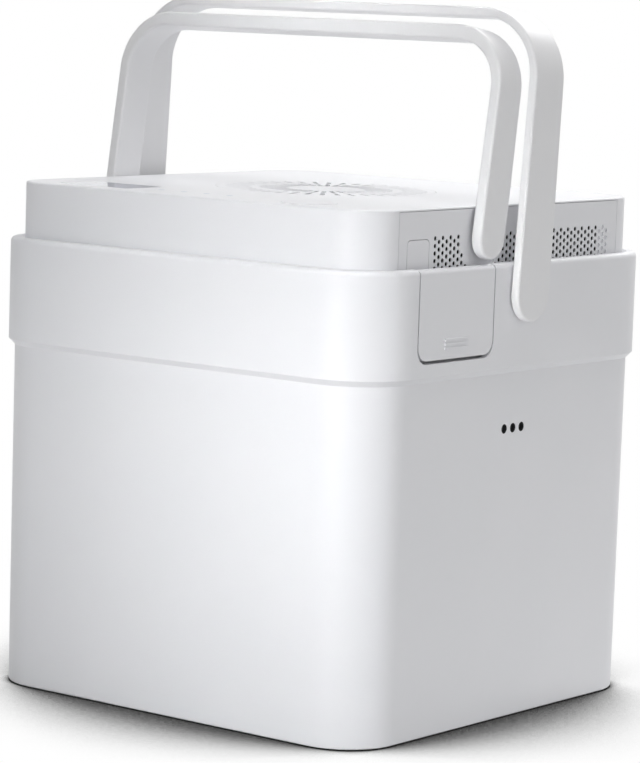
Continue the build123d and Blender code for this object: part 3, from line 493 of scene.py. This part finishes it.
# ---- 14. Control board, button and display -------------------------------------------
# The control board hangs on posts under the roof. It carries the button's switch inside
# a coil spring of music wire, and the display behind a window of dark acrylic.
dress(board, "control_board")
dress(black_plastic, "button_switch")
dress(grey_plastic, "display_unit")
button_plastic = moulded("fine_matt_white_ABS", "#F1F1F4", "#ECECF0", 0.48, 0.7, 0.02, 20.0)
dress(button_plastic, "power_button")

tree, size = geometry_tree("coil_spring", {"Turns": "Float", "Coil Radius": "Float",
    "Height": "Float", "Wire Radius": "Float"})
coil = add(tree, "GeometryNodeCurveSpiral", {
    "Resolution": 28, "Rotations": size["Turns"], "Start Radius": size["Coil Radius"],
    "End Radius": size["Coil Radius"],
    "Height": size["Height"]})
wire = add(tree, "GeometryNodeCurvePrimitiveCircle",
    {"Resolution": 8, "Radius": size["Wire Radius"]})
tube = add(tree, "GeometryNodeCurveToMesh", {"Curve": coil.outputs[0],
    "Profile Curve": wire.outputs[0], "Fill Caps": True})
smooth = add(tree, "GeometryNodeSetShadeSmooth", {"Geometry": tube.outputs[0]})
close_tree(tree, smooth.outputs[0], size)
low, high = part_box("button_spring")
wire_radius, squash_depth = 0.4 * mm, 1.2 * mm
height = high[2] - low[2]
foot = Vector(((low[0] + high[0]) / 2, (low[1] + high[1]) / 2, low[2] + wire_radius))
button_coil = grow(tree, "button_coil", Matrix.Translation(foot), Turns=4.5,
    Height=height - 2 * wire_radius, Material=spring_steel,
                   **{"Coil Radius": (high[0] - low[0]) / 2 - wire_radius,
                   "Wire Radius": wire_radius})
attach(button_coil, "module")
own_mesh(button_coil)
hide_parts("button_spring")

window, tree, shader = new_material("dark_printed_acrylic",
    {"Roughness": 0.12, "IOR": 1.49, "Coat Weight": 0.5, "Coat Roughness": 0.05})
place = add(tree, "ShaderNodeTexCoord").outputs["Object"]
slow = add(tree, "ShaderNodeTexNoise", {"Vector": place, "Scale": 60.0, "Detail": 1.0})
tone = add(tree, "ShaderNodeMix", {0: slow.outputs[0], 6: linear("#1C2F66"), 7: linear("#24407C")},
    data_type="RGBA")
tree.links.new(tone.outputs[2], shader.inputs["Base Color"])
dress(window, "display_lens")


# ---- 15. Roof, grille and indicator lenses -------------------------------------------
# Roof, front and back are one ABS moulding. The round grille drops onto a step in it,
# and four frosted acrylic light pipes end flush with the roof.
dress(white_abs, "module_shell", "top_grille")
frosted = moulded("frosted_clear_acrylic", "#E4EBF5", "#D8E2F0", 0.4, 0.6, 0.02, 4.0,
    **{"Coat Weight": 0.2})
dress(frosted, "led_lenses")


# ---- 16. Inner handle ----------------------------------------------------------------
# A narrower strap of the same polypropylene as the outer one, a little thicker, turning
# on pins through the side panels' bosses.
dress(strap_plastic, "inner_handle")
dress(turned_steel, "inner_handle_pins")


# ---- 17. Floor and light -------------------------------------------------------------
# A pale sheet under the box that glows white to the eye, with a painted shadow round the
# box's foot, two soft lamps in front, one for the straps, one above and one behind, and a
# tent of light that is brightest on the side with the level holes.
def seen(tree):
    """1 for rays from the eye, a mirror or glass, 0 for the light that falls on things."""
    rays = add(tree, "ShaderNodeLightPath")
    first = add(tree, "ShaderNodeMath", {0: rays.outputs["Is Camera Ray"],
        1: rays.outputs["Is Glossy Ray"]}, operation="MAXIMUM")
    return add(tree, "ShaderNodeMath", {0: first.outputs[0],
        1: rays.outputs["Is Transmission Ray"]}, operation="MAXIMUM").outputs[0]


sheet = bpy.data.materials.new("pale_sheet_with_painted_shadow")
sheet.use_nodes = True
tree = sheet.node_tree
tree.nodes.clear()
# Painted shadow: to the eye the sheet is an emission whose strength falls with ambient occlusion near
# the box, so lamps cast no shadow on it.
near = add(tree, "ShaderNodeAmbientOcclusion", {"Distance": 220 * mm}, samples=16)
shade = add(tree, "ShaderNodeMapRange", {0: near.outputs["AO"], 1: 0.48, 2: 0.75, 3: 0.02, 4: 1.0},
    interpolation_type="SMOOTHSTEP")
matt = add(tree, "ShaderNodeBsdfDiffuse", {"Color": (0.85, 0.85, 0.85, 1)})
white = add(tree, "ShaderNodeEmission", {"Color": (1, 1, 1, 1), "Strength": shade.outputs[0]})
both_ways = add(tree, "ShaderNodeMixShader", {0: seen(tree), 1: matt.outputs[0],
    2: white.outputs[0]})
add(tree, "ShaderNodeOutputMaterial", {"Surface": both_ways.outputs[0]})
floor_half = 6.0
floor_mesh = bpy.data.meshes.new("floor")
floor_mesh.from_pydata([(-floor_half, -floor_half, 0), (floor_half, -floor_half, 0),
    (floor_half, floor_half, 0),
                        (-floor_half, floor_half, 0)], [], [(0, 1, 2, 3)])
floor_mesh.materials.append(sheet)
floor = bpy.data.objects.new("floor", floor_mesh)
bpy.context.scene.collection.objects.link(floor)

scene = bpy.context.scene
world = bpy.data.worlds.new("light_tent")
scene.world = world
world.use_nodes = True
tree = world.node_tree
tree.nodes.clear()
place = add(tree, "ShaderNodeTexCoord").outputs["Generated"]
toward = add(tree, "ShaderNodeVectorMath", {0: place, 1: (1.0, 0.0, 0.0)}, operation="DOT_PRODUCT")
tent = add(tree, "ShaderNodeMapRange", {0: toward.outputs["Value"], 1: -0.25, 2: 0.9, 3: 0.06,
    4: 0.57}, interpolation_type="SMOOTHSTEP")
level = add(tree, "ShaderNodeMix", {0: seen(tree), 2: tent.outputs[0], 3: 1.0})
light = add(tree, "ShaderNodeBackground", {"Color": (1, 1, 1, 1), "Strength": level.outputs[0]})
add(tree, "ShaderNodeOutputWorld", {"Surface": light.outputs[0]})


def softbox(name, place, target, width, watts, beam=180):
    """A square area lamp aimed at a point; beam is how far its grid lets the light spread."""
    data = bpy.data.lights.new(name, "AREA")
    data.size = width
    data.energy = watts
    data.spread = math.radians(beam)
    lamp = bpy.data.objects.new(name, data)
    aim = (Vector(target) - Vector(place)).to_track_quat("-Z", "Y")
    lamp.matrix_world = Matrix.Translation(place) @ aim.to_matrix().to_4x4()
    bpy.context.scene.collection.objects.link(lamp)
    lamp.visible_camera = False


softbox("front_softbox", (0.14, -1.30, 0.42), (0.10, 0.0, 0.12), 0.30, 0.225, 20)
softbox("near_softbox", (0.28, -0.85, 0.28), (0.05, -0.10, 0.12), 0.50, 0.30)
softbox("top_softbox", (0.1, -0.1, 1.9), (0.0, 0.0, 0.2), 1.2, 9.5)
softbox("strap_softbox", (0.12, -1.30, 0.75), (0.0, 0.0, 0.36), 0.12, 0.03, 10)
softbox("back_softbox", (-0.2, 1.3, 1.5), (0.0, 0.0, 0.25), 1.0, 16.0)


# ---- 18. Viewpoint -------------------------------------------------------------------
# A long lens, a little above the rim, looking at the corner between the front and the
# side with the level holes; the camera is held with a slight tilt.
camera_data = bpy.data.cameras.new("camera")
camera_data.sensor_width = 36.0
camera_data.lens = 157.0
camera_data.clip_end = 20.0
camera = bpy.data.objects.new("camera", camera_data)
bpy.context.scene.collection.objects.link(camera)
yaw, pitch, roll = math.radians(37.95), math.radians(6.894), math.radians(1.905)
across = Vector((math.cos(yaw), math.sin(yaw), 0))
ahead = Vector((-math.sin(yaw), math.cos(yaw), 0)) * math.cos(pitch) - Vector((0, 0,
    math.sin(pitch)))
above = across.cross(ahead)
right = across * math.cos(roll) + above * math.sin(roll)
up = above * math.cos(roll) - across * math.sin(roll)
turn = Matrix((right, up, -ahead)).transposed().to_4x4()
eye = (0.9995, -1.2832, 0.3470)
camera.matrix_world = Matrix.Translation(eye) @ turn
scene.camera = camera
scene.view_settings.view_transform = "Standard"
